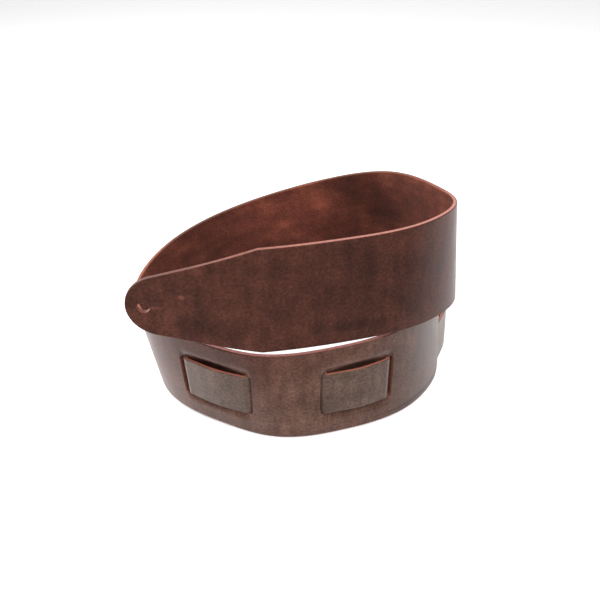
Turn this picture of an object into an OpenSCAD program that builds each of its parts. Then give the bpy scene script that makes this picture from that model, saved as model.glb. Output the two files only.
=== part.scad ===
// Two-piece leather instrument strap, coiled and standing on its edge.
// A wide main strap carries a row of slots, and a narrow tail is woven through them,
// so that the strap is made longer or shorter by drawing the tail through the slots.

/* [Main strap] */
// Width of the main strap
strap_w = 80; // [70:1:90]
// Thickness of the main strap's leather
strap_t = 3.2; // [2.4:0.1:4]
// Length of the main strap, from its tip to its slotted end
strap_len = 864; // [858:1:874]
// Length of the taper, from the tip to the full width
taper_len = 84; // [75:1:110]
// Width of the strap across its rounded tip
tip_w = 46; // [40:1:54]
// Corner radius of the slotted end
end_r = 12; // [8:1:20]

/* [Button holes] */
// Diameter of the hole for the instrument's strap button, at both ends
hole_d = 8; // [6:0.5:10]
// Distance from the end of the leather to the centre of its hole
hole_inset = 11.5; // [11:0.5:16]
// Length of the slit that lets the hole open over the button's head
slit_len = 10; // [6:0.5:16]
// Width of the slit's cut
slit_w = 0.8; // [0.4:0.1:1.5]

/* [Slots] */
// Number of slots, in pairs, one pair for each window in which the tail shows
slot_count = 4; // [2:2:4]
// Distance between the two slots of a window
window_len = 49; // [44:1:60]
// Distance between one window and the next
bridge_len = 55; // [44:1:60]
// Distance from the slotted end to the nearest slot
end_to_slot = 74; // [55:1:80]

/* [Tail] */
// Width of the tail
tail_w = 37; // [30:1:44]
// Thickness of the tail's leather
tail_t = 2.4; // [1.8:0.1:3]
// Length of the tail that lies inside the strap, past the first slot
tail_inner = 60; // [40:1:80]
// Corner radius of the tail's inner end
tail_inner_r = 8; // [3:1:14]
// Length of the tail outside the slotted end, to its free end
tail_run = 240; // [220:1:280]
// Length of the straight free end that is drawn out and in
tail_end_len = 105; // [80:1:110]
// How far the tail bulges out of the windows
tail_bulge = 1; // [0.5:0.5:4]
// How far the tail sinks below the middle of the strap on its way to the slotted end
tail_drop = 18; // [0:1:20]
// Angle at which the tail dips through a slot
weave_angle = 46; // [40:1:50]

/* [Fits] */
// Clearance between the tail and the leather that it passes
slide_clearance = 0.35; // [0.3:0.05:0.6]
// Clearance between the tail's edges and the ends of a slot
slot_end_clearance = 1; // [0.5:0.1:2]
// Clearance between the woven stretch of the tail and its free end
splice_clearance = 0.3; // [0.2:0.05:0.6]

/* [Coil] */
// Gap between the upper turn of the coil and the lower one
turn_gap = 4; // [2:0.5:8]
// Lean of the coil towards the front
lean_front = 2; // [0:0.5:3]

/* [Hidden] */

leather_brown = "#5a342e";
tail_brown = "#54382f";

// Length of leather in one turn of the coil
turn_len = 636;
// The strip climbs by its own width and the gap in a turn, and the coil leans to the left
// by the same angle, so the front of both turns runs level
climb = asin((strap_w + turn_gap) / turn_len);
axis_up = unit([-tan(climb), -tan(lean_front), 1]);
axis_x = unit([1, 0, 0] - axis_up * axis_up.x);
axis_y = cross(axis_up, axis_x);

// How the leather bends around the coil: distance from the tip along the turn, and the
// bend there in degrees for every 10 mm
strap_bends = [
    [0, 0], [30, 0], [57, 2.1], [147, 0.7], [192, 6.3], [215, 6.4], [237, 23.4], [262, 1.6],
    [287, 2.8], [327, 11.5], [367, 3.3], [412, 1.9], [457, 3.3], [507, 6.5], [547, 7.4],
    [587, 14.4], [615, 6.3], [655, 0.4], [693, 8.4], [745, 1], [797, 7], [830, 5.2], [877, 3.1]
];
// How the tail bends on after it leaves the slotted end, measured from where it leaves
tail_bends = [[0, 0], [32, 0], [47, 15], [100.7, 15], [123.7, 0]];
bend_unit = 10;

// Heading where the traced line starts, turned in from straight across
tip_heading = 0.3;
// How far the traced line of the coil runs past both ends of the strip
trace_over = 10;
trace_step = 2;

// Spacing of the cross-sections along the leather, and the points across it
ring_step = 8;
across = 3;
arc_steps = 6;
cross_steps = 12;

function unit(v) = v / norm(v);
function column(rows, k) = [for (r = rows) [r[0], r[k]]];
function smooth(x) = x <= 0 ? 0 : x >= 1 ? 1 : x * x * (3 - 2 * x);

// A plan line traced with the given bends: rows of distance, heading, x and y
function trace(bends, from, to, heading, start) = [
    for (
        s = from, q = heading, p = start;
        s <= to + trace_step;
        turn = lookup(s + trace_step / 2, bends) * trace_step / bend_unit,
        p = p + trace_step * [cos(q + turn / 2), sin(q + turn / 2)],
        q = q + turn,
        s = s + trace_step
    ) [s, q, p.x, p.y]
];

coil = trace(strap_bends, -trace_over, strap_len + trace_over, tip_heading, [0, 0]);
coil_heading = column(coil, 1);
coil_x = column(coil, 2);
coil_y = column(coil, 3);

// Place of a point of the flat strip once it is wound: u along the strip from its tip,
// v up its width from the middle, n out from the middle of its thickness
function along(u, v) = u * cos(climb) + v * sin(climb);
function heading(u, v) = lookup(along(u, v), coil_heading);
function wound(u, v, n) =
    let (c = along(u, v), q = lookup(c, coil_heading), h = v * cos(climb) - u * sin(climb))
    axis_x * (lookup(c, coil_x) + n * sin(q))
    + axis_y * (lookup(c, coil_y) - n * cos(q))
    + axis_up * h;

// Directions at a point of the wound strip: round the coil, along u, along v and out
function round_dir(u, v) =
    let (q = heading(u, v)) axis_x * cos(q) + axis_y * sin(q);
function u_dir(u, v) = round_dir(u, v) * cos(climb) - axis_up * sin(climb);
function v_dir(u, v) = round_dir(u, v) * sin(climb) + axis_up * cos(climb);
function out_dir(u, v) = cross(u_dir(u, v), v_dir(u, v));

// Outline of the flat strap: a round tip, a straight taper, the full width, round corners
tip_r = tip_w / 2;
taper_angle = atan2(strap_w / 2, taper_len - tip_r)
    - asin(tip_r / norm([taper_len - tip_r, strap_w / 2]));
tip_tangent = tip_r * (1 - sin(taper_angle));
function corner(x, r) = sqrt(max(0, r * r - x * x));
function strap_half(u) =
    u < tip_tangent ? corner(tip_r - u, tip_r)
    : u < taper_len ? strap_w / 2 - (taper_len - u) * tan(taper_angle)
    : strap_w / 2 - end_r + corner(max(0, u - strap_len + end_r), end_r);

function spread(from, to, step) =
    let (count = max(1, round((to - from) / step)))
    [for (k = [0 : count - 1]) from + (to - from) * k / count];

tip_first = 0.4;
strap_stations = concat(
    [for (k = [tip_first, each [1 : arc_steps - 1]])
        tip_r * (1 - cos(k * (90 - taper_angle) / arc_steps))],
    spread(tip_tangent, taper_len, ring_step),
    spread(taper_len, strap_len - end_r, ring_step),
    [for (k = [0 : arc_steps]) strap_len - end_r + end_r * sin(k * 90 / arc_steps)]
);
function levels(half) = [for (k = [0 : across]) half * (2 * k / across - 1)];
strap_rings = [
    for (u = strap_stations)
    let (vs = levels(strap_half(u)))
    concat(
        [for (v = vs) wound(u, v, strap_t / 2)],
        [for (k = [across : -1 : 0]) wound(u, vs[k], -strap_t / 2)]
    )
];
strap_points = [for (r = strap_rings) each r];
table_z = min([for (p = strap_points) p.z]);

// Slots, numbered from the one nearest to the tip
slot_w = strap_t / tan(weave_angle) + tail_t / sin(weave_angle) + 2 * slide_clearance;
slot_h = tail_w + 2 * slot_end_clearance;
function slot_at(k) =
    let (from_end = slot_count - 1 - k)
    strap_len - end_to_slot
    - ceil(from_end / 2) * window_len
    - floor(from_end / 2) * bridge_len;
slots = [for (k = [0 : slot_count - 1]) slot_at(k)];

// The tail lies inside the strap, comes out through one slot and goes back in at the next
layer = strap_t / 2 + slide_clearance + tail_t / 2;
dip_half = 1.5 * layer / tan(weave_angle);
function dip(x) = smooth((x / dip_half + 1) / 2);
function bulge(u, w) =
    let (x = (u - slots[2 * w] - dip_half) / (window_len - 2 * dip_half))
    x <= 0 || x >= 1 ? 0 : tail_bulge * pow(sin(180 * x), 2);
function tail_out(u, k = 0) =
    k == slot_count ? -layer
    : (k % 2 == 0 ? 2 : -2) * layer * dip(u - slots[k])
    + (k % 2 == 0 ? bulge(u, k / 2) : 0)
    + tail_out(u, k + 1);
slope_step = 0.05;
function tail_slope(u) =
    atan((tail_out(u + slope_step) - tail_out(u - slope_step)) / (2 * slope_step));

// Stations of the woven stretch: close together through a slot, wider between the slots
tail_first = slots[0] - tail_inner;
// How far inside the slotted end the tail stops following the strap
leave_inside = 10;
tail_leave = strap_len - leave_inside;
last_dip = slots[slot_count - 1] + dip_half;
function dips_from(k) = [
    for (i = [0 : cross_steps]) slots[k] + dip_half * (2 * i / cross_steps - 1)
];
tail_corner = [
    for (k = [0 : arc_steps - 1])
    tail_first + tail_inner_r * (1 - cos(90 * k / arc_steps))
];
weave_stations = concat(
    tail_corner,
    spread(tail_first + tail_inner_r, slots[0] - dip_half, ring_step),
    [for (k = [0 : slot_count - 1]) each concat(
        dips_from(k),
        k == slot_count - 1 ? []
        : [for (u = spread(slots[k] + dip_half, slots[k + 1] - dip_half, ring_step))
            if (u > slots[k] + dip_half) u]
    )],
    [for (u = spread(last_dip, tail_leave, ring_step)) if (u > last_dip) u]
);
function tail_half(u) =
    tail_w / 2 - tail_inner_r
    + corner(max(0, tail_first + tail_inner_r - u), tail_inner_r);

function tail_sink(u) = tail_drop * smooth((u - last_dip) / (tail_leave - last_dip));

function weave_point(u, v, side) =
    let (b = tail_slope(u), d = side * tail_t / 2)
    wound(u - d * sin(b), v - tail_sink(u), tail_out(u) + d * cos(b));
weave_rings = [
    for (u = weave_stations)
    let (h = tail_half(u))
    [
        weave_point(u, -h, 1), weave_point(u, h, 1),
        weave_point(u, h, -1), weave_point(u, -h, -1)
    ]
];

// Beyond the slotted end the tail turns on round the coil, comes down to the table and
// stands upright there, and its free end is straight and level
leave_point = wound(tail_leave, -tail_drop, -layer);
leave_dir = u_dir(tail_leave, -tail_drop);
leave_up = v_dir(tail_leave, -tail_drop);
leave_heading = atan2(leave_dir.y, leave_dir.x);
run_len = tail_run + leave_inside;
run = trace(tail_bends, 0, run_len, leave_heading, [leave_point.x, leave_point.y]);
run_heading = column(run, 1);
run_x = column(run, 2);
run_y = column(run, 3);
end_from = run_len - tail_end_len;
rest_z = table_z + tail_w / 2;
function run_point(s) = [
    lookup(s, run_x), lookup(s, run_y),
    leave_point.z + (rest_z - leave_point.z) * smooth(s / end_from)
];
function run_up(s) = unit(leave_up + ([0, 0, 1] - leave_up) * smooth(s / end_from));
function run_out(s) =
    let (q = lookup(s, run_heading), d = [sin(q), -cos(q), 0], up = run_up(s))
    unit(d - up * (d * up));
function run_ring(s) =
    let (
        p = run_point(s),
        up = run_up(s) * tail_w / 2,
        out = run_out(s) * tail_t / 2
    )
    [p - up + out, p + up + out, p + up - out, p - up - out];
run_stations = concat(
    spread(0, end_from - splice_clearance, ring_step),
    [end_from - splice_clearance]
);
tail_rings = concat(weave_rings, [for (s = run_stations) run_ring(s)]);

// Frame of the straight free end, and its corners
end_heading = lookup(end_from, run_heading);
end_dir = [cos(end_heading), sin(end_heading), 0];
end_out = [sin(end_heading), -cos(end_heading), 0];
end_start = run_point(end_from);
end_points = [
    for (s = [0, tail_end_len], d = [-tail_t / 2, tail_t / 2], z = [-tail_w / 2, tail_w / 2])
    end_start + end_dir * s + end_out * d + [0, 0, s == 0 ? z : 0]
];

// The part's origin is on the table, under the middle of its box
all_points = concat(strap_points, [for (r = tail_rings) each r], end_points);
low = [for (k = [0 : 2]) min([for (p = all_points) p[k]])];
high = [for (k = [0 : 2]) max([for (p = all_points) p[k]])];
origin = [(low.x + high.x) / 2, (low.y + high.y) / 2, low.z];

// Least distance between the two turns, edge to edge
upper_edge = [for (u = [taper_len : ring_step : turn_len / 2]) wound(u, -strap_w / 2, 0)];
lower_edge = [for (u = [turn_len : ring_step : strap_len]) wound(u, strap_w / 2, 0)];
least_gap = min([for (p = upper_edge, q = lower_edge) norm(p - q)]);
echo(str("Least gap between the turns: ", least_gap, " mm"));
echo(tip_hole = wound(hole_inset, 0, 0) - origin, axis = out_dir(hole_inset, 0));
echo(tail_hole = end_start + end_dir * (tail_end_len - hole_inset) - origin, axis = end_out);
echo(slide = end_dir, box = high - low, origin = origin);

// A closed solid through a list of rings with the same number of points
module skin(rings) {
    n = len(rings[0]);
    last = len(rings) - 1;
    half = n / 2;
    sides = [
        for (i = [0 : last - 1], k = [0 : n - 1])
        let (a = i * n + k, b = i * n + (k + 1) % n)
        each [[a, b, a + n], [b, b + n, a + n]]
    ];
    caps = [
        for (e = [0, last], k = [0 : half - 2])
        let (a = e * n + k, b = a + 1, c = e * n + n - 1 - k, d = c - 1)
        each e == 0 ? [[a, c, b], [b, c, d]] : [[a, b, c], [b, d, c]]
    ];
    polyhedron([for (r = rings) each r], concat(sides, caps), convexity = 12);
}

// Children drawn flat, with x along the leather and y across it, set on the wound strap
module on_strap(u) {
    x = u_dir(u, 0);
    y = v_dir(u, 0);
    z = out_dir(u, 0);
    p = wound(u, 0, 0);
    multmatrix([
        [x.x, y.x, z.x, p.x],
        [x.y, y.y, z.y, p.y],
        [x.z, y.z, z.z, p.z],
        [0, 0, 0, 1]
    ])
        children();
}

// Children drawn flat, with x along the free end from where it starts
module on_free_end() {
    multmatrix([
        [end_dir.x, 0, end_out.x, end_start.x],
        [end_dir.y, 0, end_out.y, end_start.y],
        [0, 1, 0, end_start.z],
        [0, 0, 0, 1]
    ])
        children();
}

// The punch for a button hole: a round hole and a slit that runs from it along x
cut_depth = 4 * strap_t;
module button_punch(slit_side) {
    cylinder(d = hole_d, h = cut_depth, center = true, $fn = 64);
    translate([slit_side * (hole_d / 2 + slit_len) / 2, 0, 0])
        cube([hole_d / 2 + slit_len, slit_w, cut_depth], center = true);
}

module slot_punch() {
    straight = slot_h - slot_w;
    linear_extrude(cut_depth, center = true) {
        square([slot_w, straight], center = true);
        for (side = [-1, 1])
            translate([0, side * straight / 2])
                circle(d = slot_w, $fn = 32);
    }
}

module main_strap() {
    color(leather_brown)
        translate(-origin)
            difference() {
                skin(strap_rings);
                on_strap(hole_inset)
                    button_punch(1);
                for (u = slots)
                    on_strap(u)
                        slot_punch();
            }
}

module tail_weave() {
    color(tail_brown)
        translate(-origin)
            skin(tail_rings);
}

module tail_free_end() {
    color(tail_brown)
        translate(-origin)
            on_free_end()
                difference() {
                    linear_extrude(tail_t, center = true) {
                        translate([0, -tail_w / 2])
                            square([tail_end_len - tail_w / 2, tail_w]);
                        translate([tail_end_len - tail_w / 2, 0])
                            circle(d = tail_w, $fn = 96);
                    }
                    translate([tail_end_len - hole_inset, 0, 0])
                        button_punch(-1);
                }
}

main_strap();
tail_weave();
tail_free_end();
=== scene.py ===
import bmesh
import bpy
import numpy as np
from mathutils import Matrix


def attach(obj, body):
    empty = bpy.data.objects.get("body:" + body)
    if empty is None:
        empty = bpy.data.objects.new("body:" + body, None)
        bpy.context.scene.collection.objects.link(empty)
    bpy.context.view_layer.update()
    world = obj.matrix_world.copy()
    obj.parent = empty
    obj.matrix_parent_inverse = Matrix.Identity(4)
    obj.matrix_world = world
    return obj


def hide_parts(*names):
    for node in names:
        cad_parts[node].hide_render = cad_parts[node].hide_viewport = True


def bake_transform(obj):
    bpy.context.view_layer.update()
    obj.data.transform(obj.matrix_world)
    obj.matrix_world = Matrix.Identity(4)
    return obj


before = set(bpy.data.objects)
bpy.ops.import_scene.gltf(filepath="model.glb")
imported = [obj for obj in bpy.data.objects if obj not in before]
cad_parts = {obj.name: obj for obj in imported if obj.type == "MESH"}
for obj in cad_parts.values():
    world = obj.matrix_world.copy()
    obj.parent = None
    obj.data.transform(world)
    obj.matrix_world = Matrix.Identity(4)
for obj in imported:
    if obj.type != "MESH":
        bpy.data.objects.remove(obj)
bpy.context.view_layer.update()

# MAIN STRAP
# One length of thick vegetable-tanned leather, dyed dark brown on its grain side and left rough on its
# flesh side. It is cut to a tapered round tip, punched with a button hole and slit and with a row of
# slots, its cut edges are rubbed round, and it is wound into a coil that stands on its edge.
strap_w = 80.0
strap_t = 3.2
strap_len = 864.0
taper_len = 84.0
tip_r = 23.0
end_r = 12.0
hole_r = 4.0
hole_inset = 11.5
slit_len = 10.0
slit_half = 0.12
slot_h = 39.0
slot_w = 5.0
slots = [636.0, 687.0, 740.0, 791.0]
pressed_in = 2.0
press_over = 7.5
press_ease = 9.0
bowed_in = 3.0
bow_over = 4.5
bow_ease = 6.0
turn_gap = 4.0
turn_len = 636.0
lean_front = np.radians(2.0)
tip_heading = np.radians(0.3)
trace_over = 10.0
bend_unit = 10.0
strap_bends = np.array([
    [0, 0], [30, 0], [57, 2.1], [147, 0.7], [192, 6.3], [215, 6.4], [237, 23.4], [262, 1.6],
    [287, 2.8], [327, 11.5], [367, 3.3], [412, 1.9], [457, 3.3], [507, 6.5], [547, 7.4],
    [587, 14.4], [615, 6.3], [655, 0.4], [693, 8.4], [745, 1], [797, 7], [830, 5.2], [877, 3.1],
])
part_origin = np.array([120.519, 88.9439, -121.284])

climb = np.arcsin((strap_w + turn_gap) / turn_len)
coil_up = np.array([-np.tan(climb), -np.tan(lean_front), 1.0])
coil_up /= np.linalg.norm(coil_up)
coil_x = np.array([1.0, 0.0, 0.0]) - coil_up * coil_up[0]
coil_x /= np.linalg.norm(coil_x)
coil_y = np.cross(coil_up, coil_x)


def traced(bends, first, last, heading, place, step=2.0):
    """A plan line that bends as listed, as rows of the distance along it and the bend there in degrees
    for every bend unit: the heading is the running sum of the bend, and the place is the running sum
    of a step in the mean heading of that step."""
    s = np.arange(first, last + 2 * step, step)
    turn = np.radians(np.interp(s[:-1] + step / 2, bends[:, 0], bends[:, 1])) * step / bend_unit
    q = heading + np.concatenate([[0.0], np.cumsum(turn)])
    mid = (q[1:] + q[:-1]) / 2
    x = place[0] + np.concatenate([[0.0], np.cumsum(np.cos(mid))]) * step
    y = place[1] + np.concatenate([[0.0], np.cumsum(np.sin(mid))]) * step
    return s, q, x, y


coil_line = traced(strap_bends, -trace_over, strap_len + trace_over, tip_heading, (0.0, 0.0))


def wound(u, v, n):
    """Place of a point of the flat leather once wound: the distance round the coil is u times the
    cosine of the climb plus v times its sine, the height along the coil's axis is v times the cosine
    less u times the sine, and n goes out to the right of the way round. In millimetres."""
    c = u * np.cos(climb) + v * np.sin(climb)
    h = v * np.cos(climb) - u * np.sin(climb)
    q = np.interp(c, coil_line[0], coil_line[1])
    x = np.interp(c, coil_line[0], coil_line[2]) + n * np.sin(q)
    y = np.interp(c, coil_line[0], coil_line[3]) - n * np.cos(q)
    return x[..., None] * coil_x + y[..., None] * coil_y + h[..., None] * coil_up - part_origin


def smooth(x):
    """Eases from 0 to 1: three times the square less twice the cube."""
    x = np.clip(x, 0.0, 1.0)
    return x * x * (3 - 2 * x)


def strap_place(u, v, n):
    """The wound strap, with the leather between the two slots of a window pressed in by the tail
    that lies on it: the full depth between the slots, easing out across each slot and above and below
    the tail, and bowed in further behind the tail by a squared sine along the window."""
    depth = 0.0
    off_tail = slot_h / 2 - np.abs(v)
    for a, b in zip(slots[0::2], slots[1::2]):
        between = smooth((u - a) / slot_w + 0.5) * smooth((b - u) / slot_w + 0.5)
        bow = np.sin(np.pi * np.clip((u - a) / (b - a), 0.0, 1.0)) ** 2
        depth = depth + pressed_in * between * smooth((off_tail + press_over) / press_ease)
        depth = depth + bowed_in * bow * smooth((off_tail + bow_over) / bow_ease)
    return wound(u, v, n - depth)


def edge_round(thickness, radius):
    """Half-round cut edge: rows of distance in from the cut line and height over the middle of the
    leather, a quarter circle at the grain side and one at the flesh side."""
    a = np.radians([0.0, 30.0, 60.0, 90.0])
    inset = radius * (1 - np.sin(a))
    height = thickness / 2 - radius * (1 - np.cos(a))
    return np.concatenate([inset, inset[::-1]]), np.concatenate([height, -height[::-1]])


def ring(inner, outer, rows):
    """Ruled patch between two closed lines of flat points: a share of the outer line and the rest of
    the inner one, with rows closer together towards both lines."""
    share = (0.5 - 0.5 * np.cos(np.linspace(0, np.pi, rows)))[:, None, None]
    return inner * (1 - share) + outer * share


grain, flesh, cut, wall = range(4)
mm = 0.001
uv_mm = 0.01
weld = 4e-6


def leather_mesh(name, patches, place, materials):
    """A closed leather piece from grids of flat points (u, v, n): each grid gives quads row by row,
    a closed grid joins its last column to its first, and place winds the points. The flat u and v go
    into the UV map, 100 mm to the unit, so that the grain follows the leather."""
    points, quads, finish, first = [], [], [], 0
    for flat, closed, material in patches:
        rows, cols = flat.shape[:2]
        i = np.arange(rows - 1)[:, None]
        j = np.arange(cols if closed else cols - 1)[None, :]
        k = (j + 1) % cols
        cell = np.stack([i * cols + j, i * cols + k, (i + 1) * cols + k, (i + 1) * cols + j], -1)
        quads.append(first + cell.reshape(-1, 4))
        finish.append(np.full(len(quads[-1]), material))
        points.append(flat.reshape(-1, 3))
        first += rows * cols
    flat = np.concatenate(points)
    quads = np.concatenate(quads)
    mesh = bpy.data.meshes.new(name)
    for material in materials:
        mesh.materials.append(material)
    mesh.from_pydata(place(flat[:, 0], flat[:, 1], flat[:, 2]) * mm, [], quads)
    mesh.polygons.foreach_set("material_index", np.concatenate(finish).astype(np.int32))
    uv = mesh.uv_layers.new(name="flat")
    uv.data.foreach_set("uv", (flat[quads.ravel(), :2] * uv_mm).ravel())
    shell = bmesh.new()
    shell.from_mesh(mesh)
    bmesh.ops.remove_doubles(shell, verts=shell.verts, dist=weld)
    bmesh.ops.recalc_face_normals(shell, faces=shell.faces)
    shell.to_mesh(mesh)
    shell.free()
    mesh.polygons.foreach_set("use_smooth", np.ones(len(mesh.polygons), bool))
    piece = bpy.data.objects.new(name, mesh)
    bpy.context.scene.collection.objects.link(piece)
    return piece


def both_faces(flat, thickness, closed):
    """The grain side and the flesh side of one patch, half the thickness out and half in."""
    level = np.full(flat.shape[:2] + (1,), thickness / 2)
    return [(np.concatenate([flat, level], -1), closed, grain),
            (np.concatenate([flat, -level], -1), closed, flesh)]


def edge_rows(flat, height, closed, bare=cut):
    """A cut edge as rows of flat points: the finish of each side runs over its round, and the flat
    between the rounds has the bare finish."""
    level = np.broadcast_to(height[:, None, None], flat.shape[:2] + (1,))
    rows = np.concatenate([flat, level], -1)
    return [(rows[:4], closed, grain), (rows[3:5], closed, bare), (rows[4:], closed, flesh)]


def cut_edge(line, outward, thickness, radius, closed):
    """The rounded cut edge along a line of flat points with the directions out of the leather."""
    inset, height = edge_round(thickness, radius)
    return edge_rows(line[None] - inset[:, None, None] * outward[None], height, closed)


edge_r = 0.6
slot_edge_r = 0.4
hole_edge_r = 0.2
across = 48
row_len = 2.5
cross_v = (strap_w / 2 - edge_r) * np.sin(np.linspace(-1, 1, across + 1) * np.pi / 2)
patches = []


def band(first, last):
    """A plain stretch of the strap: a grid along u and across v, with its two cut edges."""
    u = np.linspace(first, last, max(2, int(round((last - first) / row_len)) + 1))
    flat = np.stack(np.broadcast_arrays(u[:, None], cross_v[None, :]), -1)
    parts = both_faces(flat, strap_t, False)
    for side in (-1.0, 1.0):
        line = np.stack([u, np.full_like(u, side * strap_w / 2)], -1)
        parts += cut_edge(line, np.array([[0.0, side]]), strap_t, edge_r, False)
    return parts


# The tip: its outline runs along the full width, down the straight taper and round the end, and the
# patch is ruled from the button hole with its slit out to that line
tip_stop = 96.0
tip_rows = 34
round_n = 28
taper_n = 34
full_n = 6
slit_n = 24
taper_a = (np.arctan2(strap_w / 2, taper_len - tip_r)
           - np.arcsin(tip_r / np.hypot(taper_len - tip_r, strap_w / 2)))
on_round = np.linspace(np.pi / 2 + taper_a, np.pi, round_n)
round_part = np.stack([tip_r + tip_r * np.cos(on_round), tip_r * np.sin(on_round)], -1)
straight_part = np.linspace([taper_len, strap_w / 2], round_part[0], taper_n)
full_part = np.linspace([tip_stop, strap_w / 2], [taper_len, strap_w / 2], full_n)
tip_line = np.concatenate([full_part, straight_part[1:], round_part[1:]])
taper_out = np.array([-np.sin(taper_a), np.cos(taper_a)])
kink_out = np.array([-np.tan(taper_a / 2), 1.0])
tip_out = np.concatenate([
    np.tile([0.0, 1.0], (full_n - 1, 1)), kink_out[None], np.tile(taper_out, (taper_n - 2, 1)),
    np.stack([np.cos(on_round), np.sin(on_round)], -1),
])
flip = np.array([1.0, -1.0])
cross_line = np.stack([np.full(across + 1, tip_stop), cross_v], -1)
half_line = tip_line - edge_r * tip_out
tip_loop = np.concatenate([cross_line, half_line[1:], (half_line * flip)[-2:0:-1]])


def button_hole(clear):
    """Outline of the button hole and slit, set back by clear: the slit's end, its upper side, the
    round of the hole, and the same mirrored. It has one point for each point of the tip's outline."""
    end = hole_inset + hole_r + slit_len + clear
    wide = slit_half + clear
    r = hole_r + clear
    start = np.arcsin(wide / r)
    meet = hole_inset + r * np.cos(start)
    end_side = np.stack([np.full(across + 1, end), np.linspace(-wide, wide, across + 1)], -1)
    side = np.stack([np.linspace(end, meet, slit_n), np.full(slit_n, wide)], -1)[1:]
    a = np.linspace(start, np.pi, len(tip_line) - slit_n + 1)[1:]
    round_side = np.stack([hole_inset + r * np.cos(a), r * np.sin(a)], -1)
    upper = np.concatenate([side, round_side])
    return np.concatenate([end_side, upper, (upper * flip)[-2::-1]])


patches += both_faces(ring(button_hole(hole_edge_r), tip_loop, tip_rows), strap_t, True)
for mirror in (np.array([1.0, 1.0]), flip):
    patches += cut_edge(tip_line * mirror, tip_out * mirror, strap_t, edge_r, False)
inset, height = edge_round(strap_t, hole_edge_r)
patches += edge_rows(np.stack([button_hole(d) for d in inset]), height, True, wall)

# The slots: each is punched in one blow as a straight cut with round ends, and the patch is ruled
# from its outline to a rectangle across the strap
slot_reach = 13.0
along_n = 14
slot_rows = 14


def slot_line(middle, clear):
    """Outline of a slot, set back by clear: a straight side, a half circle, and both again."""
    r = slot_w / 2 + clear
    straight = (slot_h - slot_w) / 2
    side = np.linspace(-straight, straight, across + 1)
    a = np.linspace(0, np.pi, along_n + 1)
    right = np.stack([np.full(across + 1, r), side], -1)
    top = np.stack([r * np.cos(a), straight + r * np.sin(a)], -1)
    loop = np.concatenate([right[:-1], top[:-1], -right[:-1], -top[:-1]])
    return loop + np.array([middle, 0.0])


def slot_patch(middle):
    """A stretch of the strap with one slot: the ruled patch, the slot's wall and the cut edges."""
    u = np.linspace(slot_reach, -slot_reach, along_n + 1)
    top = np.stack([u, np.full(along_n + 1, cross_v[-1])], -1)
    right = np.stack([np.full(across + 1, slot_reach), cross_v], -1)
    frame_line = np.concatenate([right[:-1], top[:-1], -right[:-1], -top[:-1]])
    frame_line = frame_line + np.array([middle, 0.0])
    parts = both_faces(ring(slot_line(middle, slot_edge_r), frame_line, slot_rows), strap_t, True)
    inset, height = edge_round(strap_t, slot_edge_r)
    parts += edge_rows(np.stack([slot_line(middle, d) for d in inset]), height, True, wall)
    for side in (-1.0, 1.0):
        line = np.stack([u + middle, np.full_like(u, side * strap_w / 2)], -1)
        parts += cut_edge(line, np.array([[0.0, side]]), strap_t, edge_r, False)
    return parts


corner_clear = 6.0
stops = [tip_stop]
for middle in slots:
    stops += [middle - slot_reach, middle + slot_reach]
stops += [strap_len - end_r - corner_clear]
for first, last in zip(stops[0::2], stops[1::2]):
    patches += band(first, last)
for middle in slots:
    patches += slot_patch(middle)

# The slotted end: square, with its two corners cut round
end_rows = 12
corner_r = end_r - edge_r
beyond = np.clip((np.abs(cross_v) - (strap_w / 2 - end_r)) / corner_r, 0.0, 1.0)
end_out = np.stack([np.sqrt(1 - beyond ** 2), np.sign(cross_v) * beyond], -1)
end_line = np.stack([strap_len - end_r + corner_r * end_out[:, 0], cross_v], -1)
share = np.sin(np.linspace(0, 1, end_rows) * np.pi / 2)[:, None]
end_u = stops[-1] + share * (end_line[None, :, 0] - stops[-1])
patches += both_faces(np.stack([end_u, np.broadcast_to(cross_v, end_u.shape)], -1), strap_t, False)
patches += cut_edge(end_line + edge_r * end_out, end_out, strap_t, edge_r, False)
for side, column in ((-1.0, 0), (1.0, -1)):
    line = np.stack([end_u[:, column], np.full(len(end_u), side * strap_w / 2)], -1)
    patches += cut_edge(line, np.array([[0.0, side]]), strap_t, edge_r, False)


def node(tree, kind, links=(), **values):
    """A shader node with its settings and constant inputs, and links from (node, output) to inputs."""
    n = tree.nodes.new(kind)
    for key, value in values.items():
        if key.startswith("in_"):
            n.inputs[key[3:].replace("_", " ")].default_value = value
        else:
            setattr(n, key, value)
    for source, output, target in links:
        tree.links.new(source.outputs[output], n.inputs[target])
    return n


def ramp(tree, source, output, stops):
    """A colour ramp over a texture's value: rows of position and colour."""
    r = node(tree, "ShaderNodeValToRGB", [(source, output, "Fac")])
    r.color_ramp.elements[0].position, r.color_ramp.elements[0].color = stops[0]
    r.color_ramp.elements[1].position, r.color_ramp.elements[1].color = stops[-1]
    for position, colour in stops[1:-1]:
        r.color_ramp.elements.new(position).color = colour
    return r


def srgb(text):
    """A colour written as six hex digits, in the linear values that shaders take."""
    c = np.array([int(text[k:k + 2], 16) for k in (0, 2, 4)]) / 255
    c = np.where(c <= 0.04045, c / 12.92, ((c + 0.055) / 1.055) ** 2.4)
    return (*c, 1.0)


def times(tree, colour, shade):
    """One colour multiplied by another."""
    mixed = node(tree, "ShaderNodeMix", data_type="RGBA", blend_type="MULTIPLY")
    mixed.inputs["Factor"].default_value = 1.0
    tree.links.new(colour, mixed.inputs[6])
    tree.links.new(shade, mixed.inputs[7])
    return mixed.outputs[2]


def mottled(tree, colour, source, output, scale, detail, low, high):
    """A colour with a noise over it: times low in the noise's hollows, times high on its peaks."""
    noise = node(tree, "ShaderNodeTexNoise", [(source, output, "Vector")], in_Scale=scale,
                 in_Detail=detail)
    shade = ramp(tree, noise, "Fac", [(0.32, (low,) * 3 + (1.0,)), (0.68, (high,) * 3 + (1.0,))])
    return times(tree, colour, shade.outputs["Color"])


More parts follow.
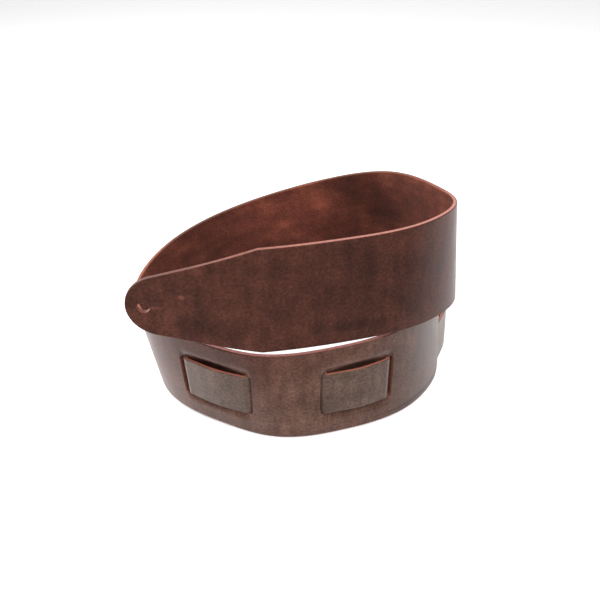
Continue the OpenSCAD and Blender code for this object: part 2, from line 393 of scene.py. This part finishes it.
def marked(tree, colour, uv, place, size, change):
    """A colour with one soft mark: times change at the place on the flat leather, fading out over the
    size along and across it, both in millimetres."""
    near = node(tree, "ShaderNodeMapping", [(uv, "UV", "Vector")], vector_type="TEXTURE",
                in_Location=(place[0] * uv_mm, place[1] * uv_mm, 0.0),
                in_Scale=(size[0] * uv_mm, size[1] * uv_mm, 1.0))
    far = node(tree, "ShaderNodeVectorMath", [(near, "Vector", 0)], operation="LENGTH")
    fade = node(tree, "ShaderNodeMapRange", [(far, "Value", "Value")], in_To_Min=change,
                in_To_Max=1.0, interpolation_type="SMOOTHERSTEP")
    return times(tree, colour, fade.outputs["Result"])


def leather_base(name):
    """An empty leather material: the material, its tree, its shader and the flat UV map."""
    material = bpy.data.materials.new(name)
    material.use_nodes = True
    tree = material.node_tree
    return material, tree, tree.nodes["Principled BSDF"], node(tree, "ShaderNodeUVMap", uv_map="flat")


# The grain's paler end comes in over this many millimetres. The lean below makes it come in earlier on
# the lower half, and that lean is painted bounce light from the white table.
paler_over = 200.0
painted_bounce_lean = -1.7


def grain_leather(name, fresh, paler_dyes, paler_from, marks_and_shade=()):
    """Dyed grain side, with dark, middle and light dye for most of the leather and paler ones for the
    end of the strap past a given distance, reached earlier on the lower half as painted bounce light
    from the
    table: cloudy dye, brush streaks across the strap, fine flecks, single marks with some painted shade,
    and pores as bump. The wax shines at a flat angle."""
    material, tree, shader, uv = leather_base(name)
    cloud = node(tree, "ShaderNodeTexNoise", [(uv, "UV", "Vector")], in_Scale=5.0, in_Detail=6.0,
                 in_Roughness=0.62)
    along = node(tree, "ShaderNodeSeparateXYZ", [(uv, "UV", "Vector")])
    # painted bounce light: the lower half of the leather reaches the paler colours earlier
    low = node(tree, "ShaderNodeMath", [(along, "Y", 0), (along, "X", 2)], operation="MULTIPLY_ADD")
    low.inputs[1].default_value = painted_bounce_lean
    paler_and_bounce = node(tree, "ShaderNodeMapRange", [(low, "Value", "Value")],
                in_From_Min=paler_from * uv_mm, in_From_Max=(paler_from + paler_over) * uv_mm,
                interpolation_type="SMOOTHSTEP")
    tones = [ramp(tree, cloud, "Fac", list(zip((0.32, 0.5, 0.7), map(srgb, dyes))))
             for dyes in (fresh, paler_dyes)]
    dye_and_bounce = node(tree, "ShaderNodeMix", data_type="RGBA")
    tree.links.new(paler_and_bounce.outputs["Result"], dye_and_bounce.inputs["Factor"])
    for k, tone in enumerate(tones):
        tree.links.new(tone.outputs["Color"], dye_and_bounce.inputs[6 + k])
    brushed = node(tree, "ShaderNodeMapping", [(uv, "UV", "Vector")], in_Scale=(14.0, 2.6, 1.0))
    colour = mottled(tree, dye_and_bounce.outputs[2], brushed, "Vector", 1.0, 3.0, 0.8, 1.14)
    colour = mottled(tree, colour, uv, "UV", 48.0, 4.0, 0.7, 1.24)
    for place, size, change in marks_and_shade:
        colour = marked(tree, colour, uv, place, size, change)
    tree.links.new(colour, shader.inputs["Base Color"])
    pores = node(tree, "ShaderNodeTexVoronoi", [(uv, "UV", "Vector")], in_Scale=85.0)
    fine = node(tree, "ShaderNodeTexNoise", [(uv, "UV", "Vector")], in_Scale=160.0, in_Detail=4.0)
    relief = node(tree, "ShaderNodeMath", [(pores, "Distance", 0), (fine, "Fac", 1)], operation="ADD")
    bump = node(tree, "ShaderNodeBump", [(relief, "Value", "Height")], in_Strength=0.12,
                in_Distance=0.0004)
    tree.links.new(bump.outputs["Normal"], shader.inputs["Normal"])
    polish = node(tree, "ShaderNodeMapRange", [(cloud, "Fac", "Value")], in_From_Min=0.3,
                  in_From_Max=0.7, in_To_Min=0.3, in_To_Max=0.42)
    tree.links.new(polish.outputs["Result"], shader.inputs["Roughness"])
    angle = node(tree, "ShaderNodeLayerWeight", in_Blend=0.5)
    wax = node(tree, "ShaderNodeMapRange", [(angle, "Facing", "Value")], in_From_Min=0.3,
               in_From_Max=0.9, in_To_Min=0.05, in_To_Max=0.62)
    tree.links.new(wax.outputs["Result"], shader.inputs["Specular IOR Level"])
    return material


def flesh_leather(name, dark, middle, light, marks_and_shade=()):
    """Rough flesh side: stained unevenly, with a short nap that gives flecks and no gloss."""
    material, tree, shader, uv = leather_base(name)
    stain = node(tree, "ShaderNodeTexNoise", [(uv, "UV", "Vector")], in_Scale=3.2, in_Detail=5.0,
                 in_Roughness=0.6)
    nap = node(tree, "ShaderNodeTexNoise", [(uv, "UV", "Vector")], in_Scale=70.0, in_Detail=5.0)
    tone = ramp(tree, stain, "Fac", [(0.32, srgb(dark)), (0.52, srgb(middle)), (0.7, srgb(light))])
    colour = mottled(tree, tone.outputs["Color"], uv, "UV", 70.0, 5.0, 0.64, 1.2)
    colour = mottled(tree, colour, uv, "UV", 13.0, 4.0, 0.8, 1.16)
    for place, size, change in marks_and_shade:
        colour = marked(tree, colour, uv, place, size, change)
    tree.links.new(colour, shader.inputs["Base Color"])
    bump = node(tree, "ShaderNodeBump", [(nap, "Fac", "Height")], in_Strength=0.35, in_Distance=0.0006)
    tree.links.new(bump.outputs["Normal"], shader.inputs["Normal"])
    shader.inputs["Roughness"].default_value = 0.88
    shader.inputs["Specular IOR Level"].default_value = 0.25
    return material


tone_reach = 1200.0


def cut_leather(name, tones):
    """Cut edge: the core of the hide, coloured along the strap as rows of the distance along it in
    millimetres and the colour there, and streaked along the layers of the cut. On the strap's own edge
    the colours along it are painted highlight where the light falls and painted shade where it doesn't."""
    material, tree, shader, uv = leather_base(name)
    along = node(tree, "ShaderNodeSeparateXYZ", [(uv, "UV", "Vector")])
    part = node(tree, "ShaderNodeMapRange", [(along, "X", "Value")],
                in_From_Max=tone_reach * uv_mm)
    tone = ramp(tree, part, "Result", [(u / tone_reach, srgb(colour)) for u, colour in tones])
    tree.links.new(mottled(tree, tone.outputs["Color"], uv, "UV", 30.0, 5.0, 0.75, 1.16),
                   shader.inputs["Base Color"])
    fibre = node(tree, "ShaderNodeTexNoise", [(uv, "UV", "Vector")], in_Scale=30.0, in_Detail=5.0)
    bump = node(tree, "ShaderNodeBump", [(fibre, "Fac", "Height")], in_Strength=0.2, in_Distance=0.0003)
    tree.links.new(bump.outputs["Normal"], shader.inputs["Normal"])
    shader.inputs["Roughness"].default_value = 0.6
    return material


# Single marks as the place along and across the flat leather, the size both ways and the change of
# colour. On the grain: the darker middle of the front, a smudge, a fleck, the pale lips of the slit, a
# streak, a painted shade line for a crease by the lower edge and painted shade on the slotted end. On
# the flesh: one pale patch and painted shade inside the coil round it.
grain_marks_and_shade = [
    ((165, 0), (110, 70), 0.74),
    ((48, -16), (26, 16), 0.6),
    ((36, 8), (3.2, 2.4), 3.0),
    ((19, 0), (9, 1.8), 2.2),
    ((150, -27), (45, 7), 0.7),
    # painted shade: a dark line along the lower edge of the slotted end, standing in for a crease
    ((835, -35), (70, 3.4), 0.3),
    # painted shade: the lower turn's slotted end made darker overall
    ((820, 5), (80, 75), 0.68),
]
flesh_patch_and_shade = [
    ((418, 20), (64, 32), 1.9),
    # painted shade: the inside of the coil made darker round the pale patch
    ((300, 0), (70, 60), 0.84),
    ((345, 10), (50, 55), 0.66),
    ((515, 0), (55, 60), 0.8),
]
# The strap's cut edge is red-brown. Its lighter stretches along the front and the lower turn's upper
# edge are painted highlight, and its darker ones at the tip and round the back are painted shade.
edge_light_and_shade = [
    (0, "4c2820"), (35, "5c3228"), (75, "7a483c"), (110, "966054"), (228, "a66e62"), (262, "7c4634"),
    (330, "5c3220"), (505, "54301e"), (530, "7e4028"), (600, "8a4a34"), (640, "98605a"), (864, "98605c"),
]
strap_finish = [
    grain_leather("strap_grain", ("42251e", "4e2d25", "5c362c"), ("573d34", "65493f", "74574c"), 560.0,
                  grain_marks_and_shade),
    flesh_leather("strap_flesh", "4e2820", "663528", "884c3a", flesh_patch_and_shade),
    cut_leather("strap_cut_edge", edge_light_and_shade),
    cut_leather("strap_punched_wall", [(0, "7a4638"), (864, "7a4032")]),
]
main_piece = leather_mesh("main_strap_leather", patches, strap_place, strap_finish)
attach(main_piece, "strap")
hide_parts("main_strap")

# ADJUSTING TAIL
# A narrow strip of thinner leather from the same hide. It lies inside the strap, comes out through one
# slot and goes back in at the next, bulges a little in each window, and leaves past the slotted end.
tail_w = 37.0
tail_t = 2.4
tail_inner = 60.0
tail_inner_r = 8.0
tail_run = 240.0
tail_end_len = 105.0
tail_bulge = 1.0
tail_drop = 18.0
slide_clearance = 0.35
dip_share = 0.75
leave_inside = 10.0
layer = strap_t / 2 + slide_clearance + tail_t / 2
swing = 2 * layer - pressed_in
dip_half = dip_share * swing
tail_first = slots[0] - tail_inner
tail_leave = strap_len - leave_inside
last_dip = slots[-1] + dip_half
tail_bends = np.array([[0, 0], [32, 0], [47, 15], [100.7, 15], [123.7, 0]])


def tail_out(u):
    """How far the tail's middle lies out from the strap's: one layer in, out again on the pressed
    leather after each odd slot, and a squared sine as the bulge between the slots of a window."""
    out = np.full_like(u, -layer)
    for k, middle in enumerate(slots):
        out = out + (swing if k % 2 == 0 else -swing) * smooth(((u - middle) / dip_half + 1) / 2)
    for a, b in zip(slots[0::2], slots[1::2]):
        x = np.clip((u - a - dip_half) / (b - a - 2 * dip_half), 0.0, 1.0)
        out = out + tail_bulge * np.sin(np.pi * x) ** 2
    return out


leave_at = wound(np.array([tail_leave]), np.array([-tail_drop]), np.array([-layer]))[0]
leave_q = np.interp(tail_leave * np.cos(climb) - tail_drop * np.sin(climb), coil_line[0], coil_line[1])
round_way = coil_x * np.cos(leave_q) + coil_y * np.sin(leave_q)
leave_way = round_way * np.cos(climb) - coil_up * np.sin(climb)
leave_up = round_way * np.sin(climb) + coil_up * np.cos(climb)
run_len = tail_run + leave_inside
end_from = run_len - tail_end_len
run_line = traced(tail_bends, 0.0, run_len, np.arctan2(leave_way[1], leave_way[0]), leave_at[:2])


slope_reach = 0.05


def tail_place(u, v, n):
    """Place of a point of the flat tail: up to the slotted end it follows the strap, set out by the
    weave and turned to its slope, and sinks below the strap's middle; beyond that it follows its own
    plan line, comes down to the table and stands upright there."""
    b = np.arctan((tail_out(u + slope_reach) - tail_out(u - slope_reach)) / (2 * slope_reach))
    sink = tail_drop * smooth((u - last_dip) / (tail_leave - last_dip))
    woven = wound(u - n * np.sin(b), v - sink, tail_out(u) + n * np.cos(b))
    s = np.clip(u - tail_leave, 0.0, None)
    share = smooth(s / end_from)[..., None]
    up = leave_up + (np.array([0.0, 0.0, 1.0]) - leave_up) * share
    up = up / np.linalg.norm(up, axis=-1, keepdims=True)
    q = np.interp(s, run_line[0], run_line[1])
    out = np.stack([np.sin(q), -np.cos(q), np.zeros_like(q)], -1)
    out = out - up * (out * up).sum(-1, keepdims=True)
    out = out / np.linalg.norm(out, axis=-1, keepdims=True)
    middle = np.stack([
        np.interp(s, run_line[0], run_line[2]), np.interp(s, run_line[0], run_line[3]),
        leave_at[2] + (tail_w / 2 - leave_at[2]) * share[..., 0],
    ], -1)
    free = middle + up * v[..., None] + out * n[..., None]
    return np.where((u > tail_leave)[..., None], free, woven)


tail_edge_r = 0.45
tail_across = 17
tail_v = (tail_w / 2 - tail_edge_r) * np.sin(np.linspace(-1, 1, tail_across) * np.pi / 2)


def tail_band(u):
    """A plain stretch of the tail along the given distances, with its two cut edges."""
    parts = both_faces(np.stack(np.broadcast_arrays(u[:, None], tail_v[None, :]), -1), tail_t, False)
    for side in (-1.0, 1.0):
        line = np.stack([u, np.full_like(u, side * tail_w / 2)], -1)
        parts += cut_edge(line, np.array([[0.0, side]]), tail_t, tail_edge_r, False)
    return parts


def tail_stop(u):
    """A square cut across the tail where one drawn stretch of it meets the next: the section's own
    outline, drawn in to its middle line."""
    inset, height = edge_round(tail_t, tail_edge_r)
    v = np.concatenate([tail_v, tail_w / 2 - inset[1:], tail_v[::-1][1:], inset[1:-1] - tail_w / 2])
    faces = np.full(tail_across, tail_t / 2)
    n = np.concatenate([faces, height[1:], -faces[1:], height[::-1][1:-1]])
    loop = np.stack([np.full_like(v, u), v, n], -1)
    return [(np.stack([loop, loop * np.array([1.0, 1.0, 0.0])]), True, cut)]


# The inner end has two round corners; then come the weave and the first stretch of the free run, as
# far as where the run turns back behind the coil
inner_clear = 4.0
inner_rows = 10
weave_rows = 420
turn_back = tail_leave + np.interp(np.pi / 2, run_line[1], run_line[0])
inner_r = tail_inner_r - tail_edge_r
past = np.clip((np.abs(tail_v) - (tail_w / 2 - tail_inner_r)) / inner_r, 0.0, 1.0)
inner_out = np.stack([-np.sqrt(1 - past ** 2), np.sign(tail_v) * past], -1)
inner_line = np.stack([tail_first + tail_inner_r + inner_r * inner_out[:, 0], tail_v], -1)
inner_stop = tail_first + tail_inner_r + inner_clear
share = np.sin(np.linspace(0, 1, inner_rows) * np.pi / 2)[:, None]
inner_u = inner_stop + share * (inner_line[None, :, 0] - inner_stop)
weave = both_faces(np.stack([inner_u, np.broadcast_to(tail_v, inner_u.shape)], -1), tail_t, False)
weave += cut_edge(inner_line + tail_edge_r * inner_out, inner_out, tail_t, tail_edge_r, False)
for side, column in ((-1.0, 0), (1.0, -1)):
    line = np.stack([inner_u[:, column], np.full(len(inner_u), side * tail_w / 2)], -1)
    weave += cut_edge(line, np.array([[0.0, side]]), tail_t, tail_edge_r, False)
weave += tail_band(np.linspace(inner_stop, turn_back, weave_rows))
weave += tail_stop(turn_back)

tail_finish = [
    grain_leather("tail_grain", ("52423a", "604d44", "6f5b51"), ("5c4d44", "6b594f", "7a685d"), 800.0),
    flesh_leather("tail_flesh", "522a22", "663528", "7c4636"),
    cut_leather("tail_cut_edge", [(0, "8c4c3c"), (tone_reach, "9a5c4a")]),
    cut_leather("tail_punched_wall", [(0, "7a4032"), (tone_reach, "7a4032")]),
]
weave_piece = leather_mesh("tail_woven", weave, tail_place, tail_finish)
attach(weave_piece, "strap")
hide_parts("tail_weave")

# TAIL'S FREE END
# The rest of the same strip: it turns back behind the coil and stands on the table, with a round end
# and its own button hole and slit. It is drawn out or in to set the strap's length.
free_stop = tail_leave + run_len
free_r = tail_w / 2
hole_clear = 12.0
end_round_n = 30
end_side_n = 10
end_slit_n = 14
hole_rows = 20
free_rows = 120
near_round = free_stop - free_r - hole_clear
on_end = np.linspace(np.pi / 2, 0.0, end_round_n)
end_round = np.stack([free_stop - free_r + free_r * np.cos(on_end), free_r * np.sin(on_end)], -1)
end_side = np.linspace([near_round, free_r], end_round[0], end_side_n)
free_line = np.concatenate([end_side, end_round[1:]])
free_out = np.concatenate([np.tile([0.0, 1.0], (end_side_n - 1, 1)),
                           np.stack([np.cos(on_end), np.sin(on_end)], -1)])
half_line = free_line - tail_edge_r * free_out
near_line = np.stack([np.full(tail_across, near_round), -tail_v], -1)
free_loop = np.concatenate([near_line, (half_line * flip)[1:], half_line[-2:0:-1]])


def end_hole(clear):
    """Outline of the free end's hole and slit, set back by clear, point for point with its edge: the
    slit runs back from the hole along the tail."""
    end = free_stop - hole_inset - hole_r - slit_len - clear
    wide = slit_half + clear
    r = hole_r + clear
    start = np.arcsin(wide / r)
    meet = free_stop - hole_inset - r * np.cos(start)
    first = np.stack([np.full(tail_across, end), np.linspace(wide, -wide, tail_across)], -1)
    side = np.stack([np.linspace(end, meet, end_slit_n), np.full(end_slit_n, -wide)], -1)[1:]
    a = np.linspace(np.pi - start, 0.0, len(free_line) - end_slit_n + 1)[1:]
    round_side = np.stack([free_stop - hole_inset + r * np.cos(a), -r * np.sin(a)], -1)
    lower = np.concatenate([side, round_side])
    return np.concatenate([first, lower, (lower * flip)[-2::-1]])


free = both_faces(ring(end_hole(hole_edge_r), free_loop, hole_rows), tail_t, True)
for mirror in (np.array([1.0, 1.0]), flip):
    free += cut_edge(free_line * mirror, free_out * mirror, tail_t, tail_edge_r, False)
inset, height = edge_round(tail_t, hole_edge_r)
free += edge_rows(np.stack([end_hole(d) for d in inset]), height, True, wall)
free += tail_band(np.linspace(turn_back, near_round, free_rows))
free += tail_stop(turn_back)
free_piece = leather_mesh("tail_free_run", free, tail_place, tail_finish)
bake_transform(free_piece)
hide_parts("tail_free_end")

# TABLE AND STUDIO
# A plain white table under soft light from above, in front and both sides, and the camera at the
# photograph's place: above the front of the coil, looking down at it. Places are in metres.
table_side = 6.0
table_white = 0.86
table_glow = 0.3
sky_light = 0.45


def background_rays(tree):
    """One for the rays that show the white background: from the camera, off gloss, through glass."""
    path = node(tree, "ShaderNodeLightPath")
    direct = node(tree, "ShaderNodeMath", [(path, "Is Camera Ray", 0), (path, "Is Glossy Ray", 1)],
                  operation="MAXIMUM")
    return node(tree, "ShaderNodeMath", [(direct, "Value", 0), (path, "Is Transmission Ray", 1)],
                operation="MAXIMUM")


bpy.ops.mesh.primitive_plane_add(size=table_side, location=(0.0, 0.0, 0.0))
table = bpy.context.object
table.name = "table"
white = bpy.data.materials.new("white_table")
white.use_nodes = True
tree = white.node_tree
shader = tree.nodes["Principled BSDF"]
shader.inputs["Base Color"].default_value = (table_white, table_white, table_white, 1.0)
shader.inputs["Roughness"].default_value = 0.6
glow = node(tree, "ShaderNodeEmission", in_Strength=table_glow)
dark = node(tree, "ShaderNodeEmission", in_Strength=0.0)
pick = node(tree, "ShaderNodeMixShader", [(background_rays(tree), "Value", "Fac")])
tree.links.new(dark.outputs[0], pick.inputs[1])
tree.links.new(glow.outputs[0], pick.inputs[2])
both = node(tree, "ShaderNodeAddShader")
tree.links.new(shader.outputs[0], both.inputs[0])
tree.links.new(pick.outputs[0], both.inputs[1])
tree.links.new(both.outputs[0], tree.nodes["Material Output"].inputs["Surface"])
table.data.materials.append(white)

world = bpy.data.worlds.new("studio")
bpy.context.scene.world = world
world.use_nodes = True
tree = world.node_tree
sky = tree.nodes["Background"]
sky.inputs["Color"].default_value = (1.0, 1.0, 1.0, 1.0)
strength = node(tree, "ShaderNodeMapRange", [(background_rays(tree), "Value", "Value")],
                in_To_Min=sky_light, in_To_Max=1.0)
tree.links.new(strength.outputs["Result"], sky.inputs["Strength"])


def softbox(name, place, aim, wide, high, power):
    """A soft area lamp of a width, height and power in watts at a place, turned to face a point."""
    lamp = bpy.data.lights.new(name, "AREA")
    lamp.shape = "RECTANGLE"
    lamp.size, lamp.size_y, lamp.energy = wide, high, power
    holder = bpy.data.objects.new(name, lamp)
    holder.location = place
    way = np.array(aim) - np.array(place)
    tilt = np.arctan2(np.hypot(way[0], way[1]), -way[2])
    holder.rotation_euler = (tilt, 0.0, np.arctan2(way[1], way[0]) - np.pi / 2)
    bpy.context.scene.collection.objects.link(holder)


softbox("overhead", (0.05, -0.35, 1.25), (0.0, 0.0, 0.08), 1.3, 1.1, 20.0)
softbox("left_strip", (-0.9, 0.3, 0.5), (-0.2, 0.1, 0.0), 0.5, 1.0, 10.5)
softbox("right_strip", (1.1, 0.3, 0.5), (0.0, 0.0, 0.05), 0.5, 1.0, 1.5)

photo_px = 600
focal_px = 638.63
looking_down = 35.528
lens = bpy.data.cameras.new("camera")
lens.sensor_fit = "HORIZONTAL"
lens.sensor_width = 36.0
lens.lens = focal_px / photo_px * lens.sensor_width
lens.clip_start = 0.01
camera = bpy.data.objects.new("camera", lens)
camera.location = (-0.00159, -0.41060, 0.35735)
camera.rotation_euler = (np.radians(90.0 - looking_down), 0.0, 0.0)
bpy.context.scene.collection.objects.link(camera)
bpy.context.scene.camera = camera
bpy.context.scene.view_settings.view_transform = "Standard"
